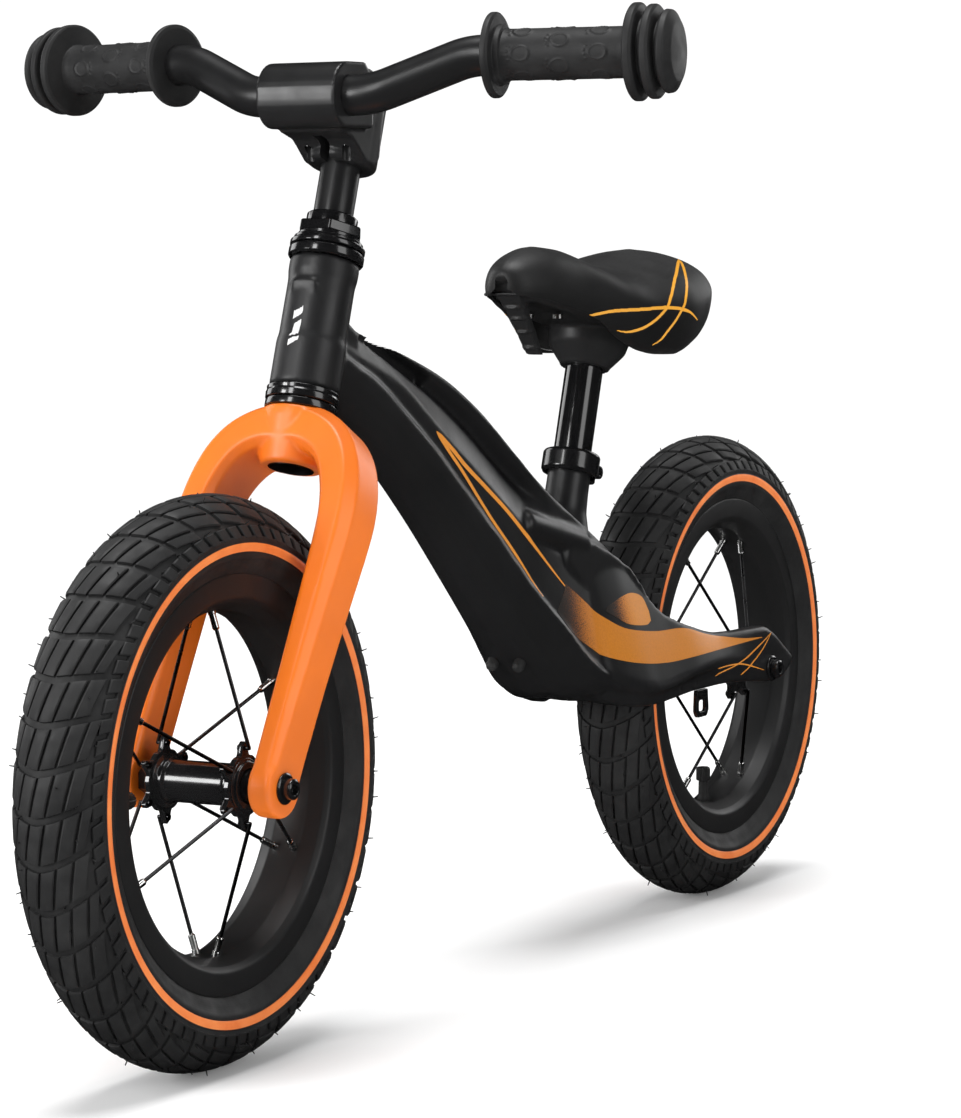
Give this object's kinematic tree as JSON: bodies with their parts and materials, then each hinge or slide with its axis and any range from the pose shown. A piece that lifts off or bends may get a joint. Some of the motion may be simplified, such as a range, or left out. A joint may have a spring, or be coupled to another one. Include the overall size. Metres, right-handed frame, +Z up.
{
  "type": "balance bike",
  "caption": "Child's balance bike with a cast beam frame, orange fork, spoked wheels with air tyres, swept handlebar with flanged grips and a saddle on a sliding post.",
  "frame": {"origin": "on the ground, on the mid-plane, midway between the two axles; it is the centre of the bottom of the bounding box", "axes": "+X to the rider's left, -Y forward, +Z up"},
  "size_m": [0.4104, 0.9096, 0.5588],
  "materials": {
    "frame_paint": "satin black paint on cast metal",
    "fork_paint": "satin orange paint on cast metal",
    "black_steel": "gloss black plated steel",
    "bar_paint": "satin black powder coat",
    "stem_finish": "satin black anodised block",
    "post_finish": "gloss black paint",
    "hub_finish": "gloss black anodised",
    "rim_finish": "matt black anodised",
    "spoke_finish": "black plated wire",
    "nipple_plate": "plated",
    "bearing_steel": "polished",
    "bare_steel": "zinc plated",
    "tyre_rubber": "moulded tread with an orange sidewall stripe",
    "tube_rubber": "matt",
    "grip_rubber": "matt, embossed dots",
    "valve_rubber": "matt",
    "cap_plastic": "knurled",
    "saddle_skin": "soft-touch moulded cover with printed yellow-orange lines",
    "saddle_plastic": "moulded",
    "buffer_rubber": "matt"
  },
  "bodies": {
    "frame": {"frame_casting": "frame_paint", "left_stay": "frame_paint", "right_stay": "frame_paint", "lower_headset_cup": "black_steel", "upper_headset_cup": "black_steel", "lower_headset_balls": "bearing_steel", "upper_headset_balls": "bearing_steel", "seat_collar": "black_steel", "seat_collar_bolt": "black_steel", "stay_tab": "black_steel", "underframe_buffers": "buffer_rubber", "rear_axle": "bare_steel", "rear_cones": "black_steel", "rear_locknuts": "black_steel", "rear_axle_washers": "black_steel", "rear_axle_bolts": "black_steel"},
    "fork": {"fork_casting": "fork_paint", "steerer_tube": "black_steel", "crown_race": "black_steel", "upper_race": "black_steel", "keyed_washer": "black_steel", "headset_locknut": "black_steel", "front_axle": "bare_steel", "front_cones": "black_steel", "front_locknuts": "black_steel", "front_axle_washers": "black_steel", "front_axle_bolts": "black_steel"},
    "stem": {"stem_clamp": "stem_finish", "stem_clamp_screws": "black_steel", "quill_tube": "bar_paint", "quill_wedge": "bare_steel", "quill_bolt": "black_steel"},
    "bar": {"handlebar": "bar_paint", "left_grip": "grip_rubber", "right_grip": "grip_rubber"},
    "seat": {"seat_post": "post_finish", "saddle_base": "saddle_plastic", "saddle_cover": "saddle_skin", "saddle_screws": "bare_steel"},
    "front_wheel": {"front_tyre": "tyre_rubber", "front_inner_tube": "tube_rubber", "front_rim": "rim_finish", "front_hub_shell": "hub_finish", "front_hub_balls": "bearing_steel", "front_spokes": "spoke_finish", "front_nipples": "nipple_plate", "front_valve_stem": "valve_rubber", "front_valve_cap": "cap_plastic"},
    "rear_wheel": {"rear_tyre": "tyre_rubber", "rear_inner_tube": "tube_rubber", "rear_rim": "rim_finish", "rear_hub_shell": "hub_finish", "rear_hub_balls": "bearing_steel", "rear_spokes": "spoke_finish", "rear_nipples": "nipple_plate", "rear_valve_stem": "valve_rubber", "rear_valve_cap": "cap_plastic"}
  },
  "joints": [
    {"name": "steering", "type": "hinge", "parent": "frame", "child": "fork", "pos_m": [0, -0.184, 0.395], "axis": [0, 0.3256, 0.9455], "range_deg": [-40, 40]},
    {"name": "handlebar_height", "type": "slide", "parent": "fork", "child": "stem", "axis": [0, 0.3256, 0.9455], "range_m": [-0.02, 0.03]},
    {"name": "handlebar_tilt", "type": "hinge", "parent": "stem", "child": "bar", "pos_m": [0, -0.186, 0.513], "axis": [1, 0, 0], "range_deg": [-12, 12]},
    {"name": "saddle_height", "type": "slide", "parent": "frame", "child": "seat", "axis": [0, 0.309, 0.9511], "range_m": [-0.035, 0.04]},
    {"name": "front_wheel_spin", "type": "hinge", "parent": "fork", "child": "front_wheel", "pos_m": [0, -0.303, 0.152], "axis": [1, 0, 0], "continuous": true},
    {"name": "rear_wheel_spin", "type": "hinge", "parent": "frame", "child": "rear_wheel", "pos_m": [0, 0.303, 0.152], "axis": [1, 0, 0], "continuous": true}
  ]
}
